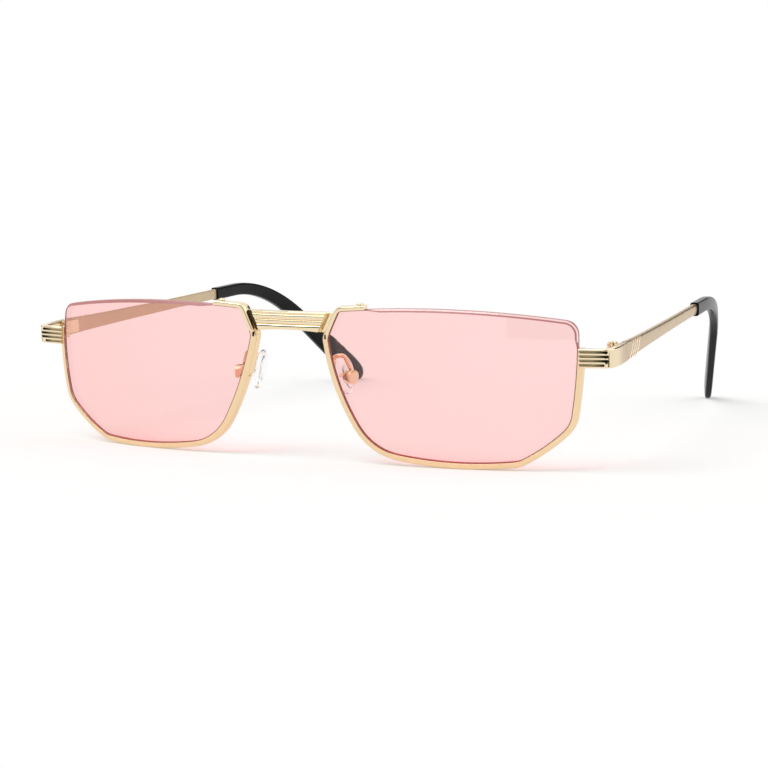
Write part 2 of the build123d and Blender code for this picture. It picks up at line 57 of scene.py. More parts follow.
MM = 0.001
LEVEL = Matrix.Identity(4)
LENS_AT, LENS_TURN = (36.9922, 0, 18.0), 8.4
PAD_BOX_AT = (13.65, 3.0, 19.0)
STAND = placed(LEVEL, (0, -74.0465, -0.2944), (4.1992, "X"))
EYE = placed(STAND, LENS_AT, (LENS_TURN, "Z"))
HINGE = placed(STAND, (68.4004, 16.6091, 24.35), (-0.8, "X"), (3.1, "Z"))
PAD_BOX = placed(STAND, PAD_BOX_AT, (162, "Z"))
ENDPIECE_START = placed(STAND, (63.7504, 7.9091, 24.35), (9.0, "Z"))
SIDES = (("left", 1), ("right", -1))

# Which body each node rides on
body_of = {node: body for body, nodes in frame["record"]["behaviour"]["bodies"].items() for node in nodes}

# The lens's outline: its corners as shares of its size from the top one at the nose down and round, how far
# each side bows out, and each corner's radius
LENS_WIDTH, LENS_HEIGHT, LENS_THICKNESS, LENS_CURVE = 54.7, 33.4, 2.0, 105.0
CORNERS_AT = ((-0.45, 0.467), (-0.5, 0.29), (-0.313, -0.427), (0.268, -0.48), (0.472, -0.239), (0.5, 0.409))
CORNERS = [Vector((across * LENS_WIDTH, up * LENS_HEIGHT)) for across, up in CORNERS_AT]
SIDE_BOWS = (0.05, 1.6, 1.25, 0.58, 0.6, 1.8)
CORNER_RADII = (1.2, 2.2, 12.5, 4.1, 5.8, 3.2)
CORNER_SAMPLES, LEAST_SIDE_SAMPLES, SIDE_SAMPLE_GAP = 14, 6, 0.7


def side_circle(start, end, bow):
    """Centre and radius of a side that stands out by bow at its middle."""
    half = (end - start).length / 2
    radius = (half * half + bow * bow) / (2 * bow)
    ahead = (end - start).normalized()
    return (start + end) / 2 + Vector((-ahead.y, ahead.x)) * (radius - bow), radius


def corner_centre(one, other, radius, near):
    """Middle of the arc that touches two sides from inside, close to a corner."""
    reach_one, reach_other = one[1] - radius, other[1] - radius
    gap = (other[0] - one[0]).length
    along = (reach_one**2 - reach_other**2 + gap**2) / (2 * gap)
    ahead = (other[0] - one[0]).normalized()
    foot = one[0] + ahead * along
    aside = Vector((-ahead.y, ahead.x)) * sqrt(reach_one**2 - along**2)
    return min((foot + aside, foot - aside), key=lambda spot: (spot - near).length)


def arc_samples(centre, start, end, count):
    """Points and outward directions along the short arc from start to end."""
    first = atan2(start.y - centre.y, start.x - centre.x)
    last = atan2(end.y - centre.y, end.x - centre.x)
    turn = (last - first + pi) % (2 * pi) - pi
    radius = (start - centre).length
    samples = []
    for i in range(count):
        out = Vector((cos(first + turn * i / count), sin(first + turn * i / count)))
        samples.append((centre + out * radius, out))
    return samples


def lens_outline():
    """The lens's outline from its top nose corner round by the nose, the bottom and the temple side."""
    count = len(CORNERS)
    circles = [side_circle(CORNERS[i], CORNERS[(i + 1) % count], SIDE_BOWS[i]) for i in range(count)]
    corners, ends = [], []
    for i in range(count):
        centre = corner_centre(circles[i - 1], circles[i], CORNER_RADII[i], CORNERS[i])
        enter = centre + (centre - circles[i - 1][0]).normalized() * CORNER_RADII[i]
        leave = centre + (centre - circles[i][0]).normalized() * CORNER_RADII[i]
        corners.append(centre)
        ends.append((enter, leave))
    samples = []
    for i in range(count):
        enter, leave = ends[i]
        ahead = ends[(i + 1) % count][0]
        side_samples = max(LEAST_SIDE_SAMPLES, int((ahead - leave).length / SIDE_SAMPLE_GAP))
        samples += arc_samples(corners[i], enter, leave, CORNER_SAMPLES)
        samples += arc_samples(circles[i][0], leave, ahead, side_samples)
    return samples


OUTLINE = lens_outline()


def on_curve(spot, behind):
    """A place of the eye frame on the lens's curve, a depth behind its front."""
    depth = LENS_CURVE - sqrt((LENS_CURVE - behind) ** 2 - spot.length_squared)
    return Vector((spot.x, depth, spot.y))


# Meshes

JOIN_GAP = 1e-7


def add_object(name, mesh):
    """A new object in the scene."""
    made = bpy.data.objects.new(name, mesh)
    bpy.context.scene.collection.objects.link(made)
    return made


def mirrored(spot, sign):
    """A point or direction taken over to the other side where sign is negative."""
    return Vector((spot.x * sign, spot.y, spot.z))


def join_and_turn(mesh):
    """Joins a mesh's doubled points and turns its faces outward."""
    fresh = bmesh.new()
    fresh.from_mesh(mesh)
    bmesh.ops.remove_doubles(fresh, verts=fresh.verts, dist=JOIN_GAP)
    bmesh.ops.recalc_face_normals(fresh, faces=fresh.faces)
    fresh.to_mesh(mesh)
    fresh.free()


def keep_result(made):
    """Gives an object the mesh that its modifiers make, and takes them off."""
    done = bpy.data.meshes.new_from_object(made.evaluated_get(bpy.context.evaluated_depsgraph_get()))
    made.modifiers.clear()
    made.data = done
    return done


def piece_from(name, verts, faces, place, sign, smooth_angle):
    """A piece of millimetre points in one of the frames, mirrored for the right side."""
    mesh = bpy.data.meshes.new(name)
    spots = [mirrored(place @ Vector(v) * MM, sign) for v in verts]
    if sign < 0:
        faces = [tuple(reversed(f)) for f in faces]
    mesh.from_pydata(spots, [], faces)
    mesh.validate()
    join_and_turn(mesh)
    mesh.shade_smooth()
    mesh.set_sharp_from_angle(angle=radians(smooth_angle))
    return add_object(name, mesh)


def skin(rings):
    """Points and faces of a skin over rings of equal count, capped at both ends."""
    count = len(rings[0])
    verts = [spot for ring in rings for spot in ring]
    faces = []
    for row in range(len(rings) - 1):
        here, ahead = row * count, (row + 1) * count
        for i in range(count):
            j = (i + 1) % count
            faces.append((here + i, here + j, ahead + j, ahead + i))
    faces.append(tuple(reversed(range(count))))
    faces.append(tuple(range(len(verts) - count, len(verts))))
    return verts, faces


def rounded_box(low_x, high_x, low_y, high_y, radii, steps=4):
    """A ring of points round a rectangle, with its own radius at each corner from the lowest one on."""
    corners = ((low_x, low_y, 180), (high_x, low_y, 270), (high_x, high_y, 0), (low_x, high_y, 90))
    ring = []
    for (x, y, start), radius in zip(corners, radii):
        cx = x + radius if x == low_x else x - radius
        cy = y + radius if y == low_y else y - radius
        for step in range(steps + 1):
            turn = radians(start + 90 * step / steps)
            ring.append((cx + radius * cos(turn), cy + radius * sin(turn)))
    return ring


def turned(profile, place, count=32):
    """A round piece turned from radius and height pairs."""
    rings = []
    for radius, height in profile:
        rings.append([
            place @ Vector((radius * cos(2 * pi * k / count), radius * sin(2 * pi * k / count), height))
            for k in range(count)
        ])
    return skin(rings)


def dress(made, node, *materials):
    """Gives a piece its materials, and the body of a node."""
    made.data.materials.clear()
    for material in materials:
        made.data.materials.append(material)
    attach(made, body_of[node])


def finish_piece(made, node, *materials):
    """Dresses a piece and lets it stand for its node's solid."""
    dress(made, node, *materials)
    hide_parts(node)


# Shader helpers


def shader_material(name):
    """A material with its node tree and its Principled shader."""
    material = bpy.data.materials.new(name)
    material.use_nodes = True
    tree = material.node_tree
    return material, tree, tree.nodes["Principled BSDF"]


def worked_out(tree, operation, *values):
    """The result of a Math node whose inputs are linked to sockets or set to numbers."""
    made = tree.nodes.new("ShaderNodeMath")
    made.operation = operation
    for goal, value in zip(made.inputs, values):
        if isinstance(value, bpy.types.NodeSocket):
            tree.links.new(value, goal)
        else:
            goal.default_value = value
    return made.outputs["Value"]


def surface_grain():
    """A group that varies a tone and a gloss with fine noise, and gives the noise's height."""
    group = bpy.data.node_groups.new("surface_grain", "ShaderNodeTree")
    for way, kind, titles in (
        ("INPUT", "Color", ("Colour", "Deep Colour")),
        ("INPUT", "Float", ("Roughness", "Spread", "Scale")),
        ("OUTPUT", "Color", ("Colour",)),
        ("OUTPUT", "Float", ("Roughness", "Height")),
    ):
        for title in titles:
            group.interface.new_socket(title, in_out=way, socket_type=f"NodeSocket{kind}")
    nodes, links = group.nodes, group.links
    given, out = nodes.new("NodeGroupInput"), nodes.new("NodeGroupOutput")
    place = nodes.new("ShaderNodeTexCoord")
    cloud = nodes.new("ShaderNodeTexNoise")
    cloud.inputs["Detail"].default_value = 5.0
    cloud.inputs["Roughness"].default_value = 0.62
    links.new(place.outputs["Object"], cloud.inputs["Vector"])
    links.new(given.outputs["Scale"], cloud.inputs["Scale"])
    tone = nodes.new("ShaderNodeMix")
    tone.data_type = "RGBA"
    links.new(cloud.outputs["Fac"], tone.inputs["Factor"])
    links.new(given.outputs["Colour"], tone.inputs["A"])
    links.new(given.outputs["Deep Colour"], tone.inputs["B"])
    links.new(tone.outputs["Result"], out.inputs["Colour"])
    centred = worked_out(group, "SUBTRACT", cloud.outputs["Fac"], 0.5)
    gloss = worked_out(group, "MULTIPLY_ADD", centred, given.outputs["Spread"], given.outputs["Roughness"])
    links.new(gloss, out.inputs["Roughness"])
    links.new(cloud.outputs["Fac"], out.inputs["Height"])
    return group


GRAIN = surface_grain()


def add_grain(tree, finish, tones=()):
    """The surface grain in a tree, with a finish of roughness, its spread and the grain's scale."""
    grain = tree.nodes.new("ShaderNodeGroup")
    grain.node_tree = GRAIN
    for title, value in zip(("Roughness", "Spread", "Scale"), finish):
        grain.inputs[title].default_value = value
    for title, tone in zip(("Colour", "Deep Colour"), tones):
        grain.inputs[title].default_value = (*tone, 1)
    return grain


def grained(name, tones, finish, bump=0.0, metallic=0.0):
    """A material whose tone, gloss and height come from the surface grain."""
    material, tree, shader = shader_material(name)
    grain = add_grain(tree, finish, tones)
    tree.links.new(grain.outputs["Colour"], shader.inputs["Base Color"])
    tree.links.new(grain.outputs["Roughness"], shader.inputs["Roughness"])
    shader.inputs["Metallic"].default_value = metallic
    if bump:
        raised = tree.nodes.new("ShaderNodeBump")
        raised.inputs["Strength"].default_value = bump
        raised.inputs["Distance"].default_value = 0.00002
        tree.links.new(grain.outputs["Height"], raised.inputs["Height"])
        tree.links.new(raised.outputs["Normal"], shader.inputs["Normal"])
    return material


def clear_material(name, colour, ior, finish, shadow_tint):
    """A see-through material whose gloss comes from the grain. Lamps pass through it, tinted."""
    material, tree, shader = shader_material(name)
    shader.inputs["Base Color"].default_value = (*colour, 1)
    shader.inputs["Transmission Weight"].default_value = 1.0
    shader.inputs["IOR"].default_value = ior
    grain = add_grain(tree, finish)
    tree.links.new(grain.outputs["Roughness"], shader.inputs["Roughness"])
    mix = tree.nodes.new("ShaderNodeMixShader")
    clear = tree.nodes.new("ShaderNodeBsdfTransparent")
    clear.inputs["Color"].default_value = (*shadow_tint, 1)
    path = tree.nodes.new("ShaderNodeLightPath")
    tree.links.new(path.outputs["Is Shadow Ray"], mix.inputs["Fac"])
    tree.links.new(shader.outputs["BSDF"], mix.inputs[1])
    tree.links.new(clear.outputs["BSDF"], mix.inputs[2])
    tree.links.new(mix.outputs["Shader"], tree.nodes["Material Output"].inputs["Surface"])
    return material


def rising_mask(tree, axis, start, end, both_sides=False):
    """A mask that rises from 0 to 1 between two places along an object axis, in metres."""
    place = tree.nodes.new("ShaderNodeTexCoord")
    parts = tree.nodes.new("ShaderNodeSeparateXYZ")
    reach = tree.nodes.new("ShaderNodeMapRange")
    reach.inputs["From Min"].default_value = start
    reach.inputs["From Max"].default_value = end
    tree.links.new(place.outputs["Object"], parts.inputs["Vector"])
    along = parts.outputs[axis]
    if both_sides:
        along = worked_out(tree, "ABSOLUTE", along)
    tree.links.new(along, reach.inputs["Value"])
    return reach.outputs["Result"]


def mix_before(tree, goal, mask, kind):
    """A mix node between what feeds a socket and the socket, led by a mask. Its B is left to set."""
    mix = tree.nodes.new("ShaderNodeMix")
    mix.data_type = kind
    before = goal.links[0].from_socket
    tree.links.new(mask, mix.inputs["Factor"])
    tree.links.new(before, mix.inputs["A"])
    tree.links.new(mix.outputs["Result"], goal)
    return mix


# Materials. Two tones each, then roughness, its spread and the grain's scale

GOLD_TONES, GOLD_FINISH = ((0.90, 0.76, 0.53), (0.83, 0.685, 0.455)), (0.15, 0.08, 900.0)
DRAWN_TONES, DRAWN_FINISH = ((0.655, 0.51, 0.34), (0.575, 0.44, 0.285)), (0.37, 0.12, 700.0)


def endpiece_gold():
    """The endpiece's plating: polished in front, and drawn dull like the blade towards the hinge."""
    material = grained("endpiece gold", GOLD_TONES, GOLD_FINISH, bump=0.08, metallic=1.0)
    tree = material.node_tree
    shader = tree.nodes["Principled BSDF"]
    mask = rising_mask(tree, "Y", -0.0650, -0.0610)
    dull = add_grain(tree, DRAWN_FINISH, DRAWN_TONES)
    tone = mix_before(tree, shader.inputs["Base Color"], mask, "RGBA")
    gloss = mix_before(tree, shader.inputs["Roughness"], mask, "FLOAT")
    tree.links.new(dull.outputs["Colour"], tone.inputs["B"])
    tree.links.new(dull.outputs["Roughness"], gloss.inputs["B"])
    return material


def endpiece_painted_shade():
    """Plating painted with shade in the endpiece's grooves: half dark, and painted darkest where they run out
    at the corner.
    """
    material = grained(
        "endpiece groove painted shade", ((0.44, 0.37, 0.235), (0.33, 0.275, 0.17)), (0.3, 0.12, 1200.0), 0.1, 1.0
    )
    tree = material.node_tree
    # Painted shade: the grooves go near black towards their ends at the corner
    mask = rising_mask(tree, "X", 0.0668, 0.0690, both_sides=True)
    painted_dark_end = mix_before(tree, tree.nodes["Principled BSDF"].inputs["Base Color"], mask, "RGBA")
    painted_dark_end.inputs["B"].default_value = (0.02, 0.016, 0.01, 1)
    return material


def gloss_black():
    """Polished black plastic of the temple tips, with the faint ripple of a moulding."""
    material = grained(
        "gloss black tip", ((0.004, 0.0045, 0.005), (0.007, 0.0075, 0.008)), (0.22, 0.08, 260.0), bump=0.02
    )
    shader = material.node_tree.nodes["Principled BSDF"]
    shader.inputs["IOR"].default_value = 1.45
    shader.inputs["Specular IOR Level"].default_value = 0.14
    return material


def rose_lens():
    """The lens: clear inside with a rose tint that deepens with its depth."""
    material = clear_material("rose tinted lens", (1, 1, 1), 1.5, (0.02, 0.03, 180.0), (1, 1, 1))
    tree = material.node_tree
    tint = tree.nodes.new("ShaderNodeVolumeAbsorption")
    tint.inputs["Color"].default_value = (0.985, 0.10, 0.05, 1)
    tint.inputs["Density"].default_value = 205.0
    tree.links.new(tint.outputs["Volume"], tree.nodes["Material Output"].inputs["Volume"])
    return material


# Pale champagne plating of the front, polished, with faint clouding, and a little warmer on the rim wire,
# where the warmth is painted rose light from the lenses
gold = grained("pale gold plating", GOLD_TONES, GOLD_FINISH, bump=0.08, metallic=1.0)
gold_painted_rose_light = grained(
    "gold wire with painted rose light", ((0.91, 0.71, 0.45), (0.84, 0.635, 0.385)), (0.17, 0.08, 900.0), bump=0.08, metallic=1.0
)
# Plating painted dark to stand for the shade at the bottom of a groove: on the rim's slot walls and the
# bridge's recess
painted_groove_shade = grained(
    "painted groove shade", ((0.10, 0.082, 0.05), (0.05, 0.04, 0.025)), (0.38, 0.12, 1200.0), 0.1, 1.0
)
half_painted_shade = endpiece_painted_shade()
corner_gold = endpiece_gold()
# The bright strokes on the drawn finish of the blade
bright_cut = grained(
    "bright cut strokes", ((0.98, 0.87, 0.72), (0.93, 0.81, 0.64)), (0.30, 0.08, 1500.0), 0.05, 1.0
)
drawn = grained("drawn gold plating", DRAWN_TONES, DRAWN_FINISH, bump=0.1, metallic=1.0)
# Gold plated screws, a little brighter and sharper
screw = grained(
    "plated screw metal", ((0.93, 0.82, 0.58), (0.84, 0.71, 0.47)), (0.11, 0.06, 1400.0), 0.05, 1.0
)
rose = rose_lens()
# The lens's cut edge, ground fine, where the rose tint gathers; its deep rose is painted shade standing for
# the tint and inner reflections
rose_edge_painted_shade = grained("ground lens edge with painted shade", ((0.62, 0.25, 0.24), (0.54, 0.20, 0.195)), (0.34, 0.12, 1500.0), 0.15)
black = gloss_black()
# The nose pads: clear, soft, a little cloudy
silicone = clear_material("clear silicone", (0.97, 0.98, 0.99), 1.41, (0.10, 0.08, 600.0), (0.96, 0.97, 0.98))


# Camera, light and floor

# The fitted camera, with its lens and shifts in pixels of the photograph
PHOTO_SIZE, SENSOR = 768, 36.0
CAMERA_BEARING, CAMERA_RISE, CAMERA_ROLL = 25.373, 6.345, -0.043
CAMERA_TARGET, CAMERA_DISTANCE = Vector((0, -0.050263, 0.015585)), 0.457124
FOCAL_PIXELS, SHIFT_PIXELS = 1977.919, (44.654, -5.918)
FLOOR_SIZE, FLOOR_GLOW, CARD_DISTANCE = 6.0, 0.25, 0.95
WORLD_LIGHT, WORLD_SEEN = 0.42, 1.0


def toward(bearing, rise):
    """A direction: bearing 0 is straight in front and 90 the wearer's left, rise above the floor."""
    turn, lift = radians(bearing), radians(rise)
    return Vector((sin(turn) * cos(lift), -cos(turn) * cos(lift), sin(lift)))


def facing(bearing, rise):
    """The turn that points an object's Z axis in a direction."""
    return toward(bearing, rise).to_track_quat("Z", "Y").to_euler()


def sheet_mesh(name, wide, high):
    """A flat rectangle about its middle."""
    x, y = wide / 2, high / 2
    mesh = bpy.data.meshes.new(name)
    mesh.from_pydata([(-x, -y, 0), (x, -y, 0), (x, y, 0), (-x, y, 0)], [], [(0, 1, 2, 3)])
    return mesh


def seen_mask(tree):
    """A mask that is 1 for what is seen, straight, mirrored or through a lens, and 0 for the light given."""
    path = tree.nodes.new("ShaderNodeLightPath")
    mask = path.outputs["Is Camera Ray"]
    for ray in ("Is Glossy Ray", "Is Transmission Ray"):
        mask = worked_out(tree, "MAXIMUM", mask, path.outputs[ray])
    return mask


def add_camera():
    """The camera at the photograph's angle."""
    back = toward(CAMERA_BEARING, CAMERA_RISE)
    right = (-back).cross(Vector((0, 0, 1))).normalized()
    up = right.cross(-back)
    roll = radians(CAMERA_ROLL)
    across = right * cos(roll) + up * sin(roll)
    above = up * cos(roll) - right * sin(roll)
    eye = CAMERA_TARGET + back * CAMERA_DISTANCE
    data = bpy.data.cameras.new("camera")
    data.sensor_width = SENSOR
    data.lens = FOCAL_PIXELS / PHOTO_SIZE * SENSOR
    data.shift_x, data.shift_y = SHIFT_PIXELS[0] / PHOTO_SIZE, SHIFT_PIXELS[1] / PHOTO_SIZE
    data.clip_start = 0.01
    camera = add_object("camera", data)
    turn = Matrix((across, above, back)).transposed().to_4x4()
    camera.matrix_world = Matrix.Translation(eye) @ turn
    bpy.context.scene.camera = camera


def add_floor():
    """A white sweep that glows a little where it is seen, so it stays white."""
    paint, tree, shader = shader_material("white sweep")
    shader.inputs["Base Color"].default_value = (0.93, 0.925, 0.92, 1)
    shader.inputs["Roughness"].default_value = 0.9
    shader.inputs["Specular IOR Level"].default_value = 0.0
    shader.inputs["Emission Color"].default_value = (1, 1, 1, 1)
    glow = worked_out(tree, "MULTIPLY", seen_mask(tree), FLOOR_GLOW)
    tree.links.new(glow, shader.inputs["Emission Strength"])
    mesh = sheet_mesh("floor", FLOOR_SIZE, FLOOR_SIZE)
    mesh.materials.append(paint)
    add_object("floor", mesh)


def add_world():
    """An even soft light all round, white where it is seen."""
    world = bpy.data.worlds.new("white studio")
    bpy.context.scene.world = world
    world.use_nodes = True
    tree = world.node_tree
    plain, shown = tree.nodes["Background"], tree.nodes.new("ShaderNodeBackground")
    for light, strength in ((plain, WORLD_LIGHT), (shown, WORLD_SEEN)):
        light.inputs["Color"].default_value = (1, 1, 1, 1)
        light.inputs["Strength"].default_value = strength
    mix = tree.nodes.new("ShaderNodeMixShader")
    tree.links.new(seen_mask(tree), mix.inputs["Fac"])
    tree.links.new(plain.outputs["Background"], mix.inputs[1])
    tree.links.new(shown.outputs["Background"], mix.inputs[2])
    tree.links.new(mix.outputs["Shader"], tree.nodes["World Output"].inputs["Surface"])


def add_lamps():
    """A soft key from above and a softer fill: bearing, rise, energy and spread."""
    for name, bearing, rise, energy, spread in (
        ("key", -35, 58, 1.15, 42),
        ("fill", 100, 50, 0.35, 70),
    ):
        lamp = bpy.data.lights.new(name, "SUN")
        lamp.energy = energy
        lamp.angle = radians(spread)
        add_object(name, lamp).rotation_euler = facing(bearing, rise)


def add_cards():
    """Dark cards out of the picture, which only gloss picks up: bearing, rise, width and height."""
    soot = grained("black card", ((0.02, 0.02, 0.02), (0.035, 0.035, 0.035)), (0.9, 0.1, 3.0))
    for name, bearing, rise, wide, high in (
        ("card_behind_right", 163, 25, 0.62, 0.4),
        ("card_by_camera", 27, 7, 0.5, 0.4),
        ("card_above_front", -12, 31, 1.9, 0.42),
        ("card_behind_left", -112, 7, 0.5, 0.32),
    ):
        sheet = sheet_mesh(name, wide, high)
        sheet.materials.append(soot)
        card = add_object(name, sheet)
        card.rotation_euler = facing(bearing, rise)
        card.location = toward(bearing, rise) * CARD_DISTANCE
        card.visible_camera = False
        card.visible_diffuse = False
        card.visible_shadow = False
        card.visible_transmission = False


bpy.context.scene.view_settings.view_transform = "Standard"
add_camera()
add_floor()
add_world()
add_lamps()
add_cards()


# Lenses

# Rows of the lens's mesh from its middle out, closest there so that the curve's shading stays even
LENS_ROW_SHARES = (0.02, 0.045, 0.08, 0.12, 0.19, 0.28, 0.4, 0.54, 0.68, 0.8, 0.9, 0.96)
# The front's facet: its width where metal holds the edge and what bareness adds. Then, as shares of it, where
# its middle line lies, how deep that line is and how deep the edge is
HELD_FACET, BARE_FACET_MORE, FACET_LINE, FACET_LINE_DEPTH, FACET_EDGE_DEPTH = 0.16, 0.46, 0.45, 0.3, 0.6
BACK_BEVEL = 0.2
# Strips of the mesh from the front's facet over the edge to the back's bevel, and from which share of being
# bare the facet's outer strip is clear
EDGE_STRIPS, CLEAR_FROM = 5, 0.6
# Heights on the outline where the wire meets the strap, the slot sits and the wire's temple end stops
WAIST_JOINT, SLOT_LEVEL, RIM_TOP = 10.586, 9.786, 8.3
STRAP_END = -18.015
# The stretches past the strap and above the rim over which the edge becomes bare
BARE_PAST_STRAP, BARE_ABOVE_RIM = 3, 2


def bare_share(spot):
    """How far the edge is bare at a place: all of it above the endpiece and past the strap."""
    past_strap = min(1, max(0, (spot.x - STRAP_END) / BARE_PAST_STRAP))
    above_rim = min(1, max(0, (spot.y - RIM_TOP) / BARE_ABOVE_RIM))
    return past_strap * above_rim


def lens_shape():
    """Front and back curves, a bevel where metal holds the edge and a polished facet where it is bare."""
    facets = [HELD_FACET + BARE_FACET_MORE * bare_share(spot) for spot, out in OUTLINE]
    inner = [spot - out * facet for (spot, out), facet in zip(OUTLINE, facets)]
    line = [spot - out * facet * FACET_LINE for (spot, out), facet in zip(OUTLINE, facets)]
    edge = [spot for spot, out in OUTLINE]
    shrunk = [spot - out * BACK_BEVEL for spot, out in OUTLINE]
    rows = [[on_curve(spot * share, 0) for spot in inner] for share in (*LENS_ROW_SHARES, 1)]
    rows.append([on_curve(spot, facet * FACET_LINE_DEPTH) for spot, facet in zip(line, facets)])
    rows.append([on_curve(spot, facet * FACET_EDGE_DEPTH) for spot, facet in zip(edge, facets)])
    for behind in (LENS_THICKNESS / 2, LENS_THICKNESS - BACK_BEVEL):
        rows.append([on_curve(spot, behind) for spot in edge])
    for share in (1, *reversed(LENS_ROW_SHARES)):
        rows.append([on_curve(spot * share, LENS_THICKNESS) for spot in shrunk])
    count = len(OUTLINE)
    verts, faces = skin(rows)
    faces = faces[:-2]
    first = len(verts)
    verts.append(on_curve(Vector((0, 0)), 0))
    verts.append(on_curve(Vector((0, 0)), LENS_THICKNESS))
    last_row = (len(rows) - 1) * count
    for i in range(count):
        j = (i + 1) % count
        faces.append((first, j, i))
        faces.append((first + 1, last_row + i, last_row + j))
    return verts, faces


def paint_lens_edge_shade(made, sign):
    """Paints the lens's edge the deep rose shade, apart from a clear outer strip on the left lens's bare
    facet.
    """
    count, edge_start = len(OUTLINE), len(LENS_ROW_SHARES)
    for face in made.data.polygons:
        strip, bare = face.index // count - edge_start, bare_share(OUTLINE[face.index % count][0])
        clear_facet = sign > 0 and strip == 1 and bare > CLEAR_FROM
        face.material_index = 1 if 0 <= strip < EDGE_STRIPS and not clear_facet else 0


# Rims and straps. Sections run across from the lens's edge and behind its front

STRAP_THICKNESS = 0.95
RIM_SECTION = rounded_box(0.0, 1.3, -0.1, 2.0, (0.12, 0.42, 0.42, 0.12))
STRAP_SECTION = rounded_box(0.0, STRAP_THICKNESS, -0.4, 2.0, (0.1, 0.32, 0.3, 0.1))
SCREW_AT = Vector((-19.715, 4.0745, 16.0302))
# Radius and height of the screw from the shank's foot to the top of its dome
SCREW_PROFILE = ((0.45, -1.0), (0.45, 0.0), (0.68, 0.0), (0.75, 0.08))
SCREW_PROFILE += ((0.75, 0.26), (0.66, 0.42), (0.4, 0.52), (0.05, 0.55))
# The upright slot: its middle from the lens's edge and behind the front, its round ends and their distance
SLOT_ACROSS, SLOT_BEHIND, SLOT_RADIUS, SLOT_HALF_RISE, SLOT_POINTS = 0.65, 1.0, 0.225, 0.325, 24
# Faces this close to the slot's middle, and turned away from the front this much, are its walls, which get
# painted shade
SLOT_REACH_ACROSS, SLOT_REACH_UP, SLOT_WALL_TURN = 0.24, 0.56, 0.3


def swept_band(samples, section):
    """A band with a section across and behind the front, along part of the outline."""
    return skin([
        [on_curve(spot + out * across, behind) for across, behind in section] for spot, out in samples
    ])


def at_level(samples, level):
    """The place on a stretch of the outline where it reaches a height."""
    for (here, out), (ahead, _) in zip(samples, samples[1:]):
        if (here.y - level) * (ahead.y - level) <= 0 and here.y != ahead.y:
            return here.lerp(ahead, (level - here.y) / (ahead.y - here.y)), out
    return samples[-1]


def crossing(level, falling):
    """Where the outline first passes a height, going down or coming up."""
    for i in range(len(OUTLINE) - 1):
        here, ahead = OUTLINE[i][0].y, OUTLINE[i + 1][0].y
        if falling and here >= level > ahead or not falling and here < level <= ahead:
            return i + 1
    return 0


def rim_shape():
    """The wire from the waist round under the lens to the endpiece."""
    start, end = crossing(WAIST_JOINT, True), crossing(RIM_TOP, False)
    samples = [at_level(OUTLINE[start - 1 : start + 1], WAIST_JOINT)] + OUTLINE[start:end]
    samples.append(at_level(OUTLINE[end - 1 : end + 1], RIM_TOP))
    return swept_band(samples, RIM_SECTION)


def cut_slot(made, place, sign, smooth_angle):
    """Cuts the small upright slot through the wire at the waist, and gives its middle."""
    start = crossing(SLOT_LEVEL, True)
    spot, out = at_level(OUTLINE[start - 1 : start + 1], SLOT_LEVEL)
    middle = on_curve(spot + out * SLOT_ACROSS, SLOT_BEHIND)
    rings = []
    for behind in (-3.0, 3.0):
        ring = []
        for k in range(SLOT_POINTS):
            turn = 2 * pi * (k + 0.5) / SLOT_POINTS
            rise = SLOT_HALF_RISE if turn < pi else -SLOT_HALF_RISE
            ring.append(middle + Vector((SLOT_RADIUS * cos(turn), behind, SLOT_RADIUS * sin(turn) + rise)))
        rings.append(ring)
    verts, faces = skin(rings)
    cutter = piece_from("slot_cutter", verts, faces, place, sign, 30)
    cut = made.modifiers.new("slot", "BOOLEAN")
    cut.operation = "DIFFERENCE"
    cut.solver = "EXACT"
    cut.object = cutter
    done = keep_result(made)
    bpy.data.objects.remove(cutter)
    done.set_sharp_from_angle(angle=radians(smooth_angle))
    return middle


def paint_slot_shade(made, middle, place, sign):
    """Paints shade on the walls of the upright slot with the dark groove material."""
    back = (Matrix.Scale(MM, 4) @ place).inverted()
    for face in made.data.polygons:
        spot = back @ mirrored(face.center, sign)
        out = (back.to_3x3() @ mirrored(face.normal, sign)).normalized()
        within = abs(spot.x - middle.x) < SLOT_REACH_ACROSS and abs(spot.z - middle.z) < SLOT_REACH_UP
        if within and abs(out.y) < SLOT_WALL_TURN:
            face.material_index = 1


def strap_shape():
    """The clip from the waist up the slant and over the lens's top edge."""
    samples = [
        (spot, out) for spot, out in OUTLINE[len(OUTLINE) // 2 :] if spot.x < STRAP_END and spot.y > 9
    ]
    start = crossing(WAIST_JOINT, True)
    samples += OUTLINE[:start] + [at_level(OUTLINE[start - 1 : start + 1], WAIST_JOINT)]
    return swept_band(samples, STRAP_SECTION)


def strap_screw_shape():
    """The screw's domed head on the strap and the shank inside the strap."""
    return turned(SCREW_PROFILE, Matrix.Translation(SCREW_AT + Vector((0, 0, STRAP_THICKNESS))))


# Bridge

BRIDGE_FRONT, BRIDGE_BACK, BRIDGE_TOP, BRIDGE_BOTTOM = 0.3545, 2.0545, 33.148, 28.648
BRIDGE_BOW, ARCH_RISE, HALF_SPAN, BAR_MARGIN = 80.0, 0.7, 9.35, 1.2
# The outline's slant beside the bridge lies this far toward the nose and faces it this much
NOSE_SIDE, NOSE_FACING = -20, -0.5
# Faces of the bar that are turned forward this much are the recess beside the ribs, which gets painted shade
RECESS_FACING = -0.7
# The ribs: each one's share of the height from the lowest up, how far they rise and sink, how much each
# bulges, and how their ends slope
RIB_SHARES, RIB_RISE, RIB_SEAT, RIB_BULGE_SHARE, RIB_POINTS = (0.39, 0.233, 0.256, 0.121), 0.65, 0.2, 0.28, 10
RIB_FOOT_MARGIN, RIB_END_RUN, RIB_INSET = 1.55, 1.0, 0.05


